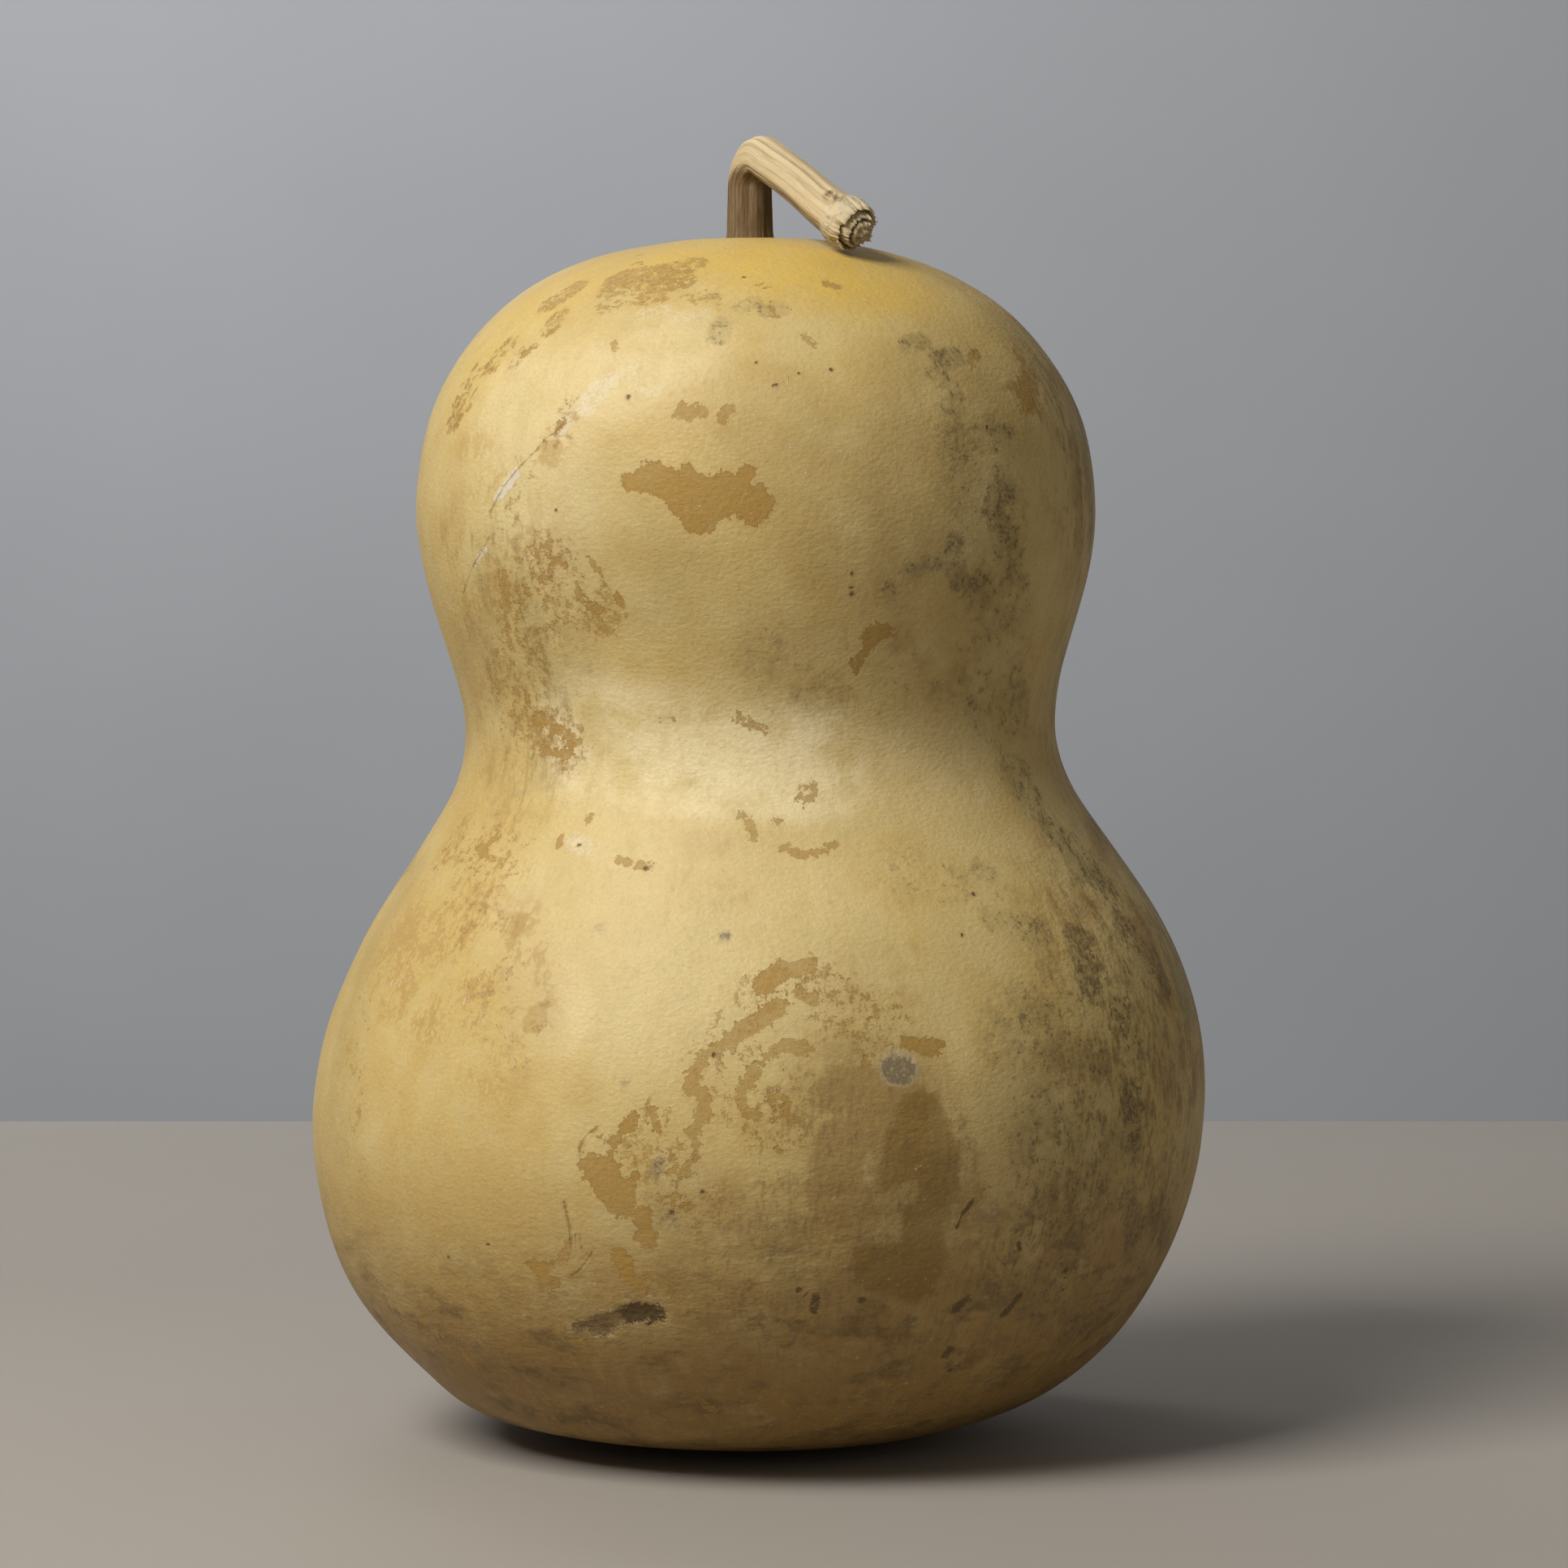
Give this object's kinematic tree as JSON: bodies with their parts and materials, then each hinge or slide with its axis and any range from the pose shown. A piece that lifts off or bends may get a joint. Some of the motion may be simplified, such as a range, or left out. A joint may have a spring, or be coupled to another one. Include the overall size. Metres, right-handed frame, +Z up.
{
  "type": "dried bottle gourd",
  "caption": "Dried bottle gourd standing on its blossom end: a hard two-lobed rind with a waist, and the bent, ridged stalk left on top, torn at its end.",
  "frame": {"origin": "on the surface that the gourd stands on, under the middle of its lower bulb", "axes": "+Z up along the gourd, -Y the side that the picture shows, +X to the right there; the stalk droops towards +X and -Y"},
  "size_m": [0.2002, 0.1962, 0.2901],
  "materials": {
    "rind": "hard dry rind, satin and faintly waxy, straw yellow with ochre scabs, grey mould mottling and pale scuffs",
    "stalk": "dry fibrous stalk, matt, pale straw on the ridges and brown in the grooves and on its lower side"
  },
  "bodies": {
    "root": {"gourd": "rind", "stem": "stalk"}
  },
  "joints": []
}
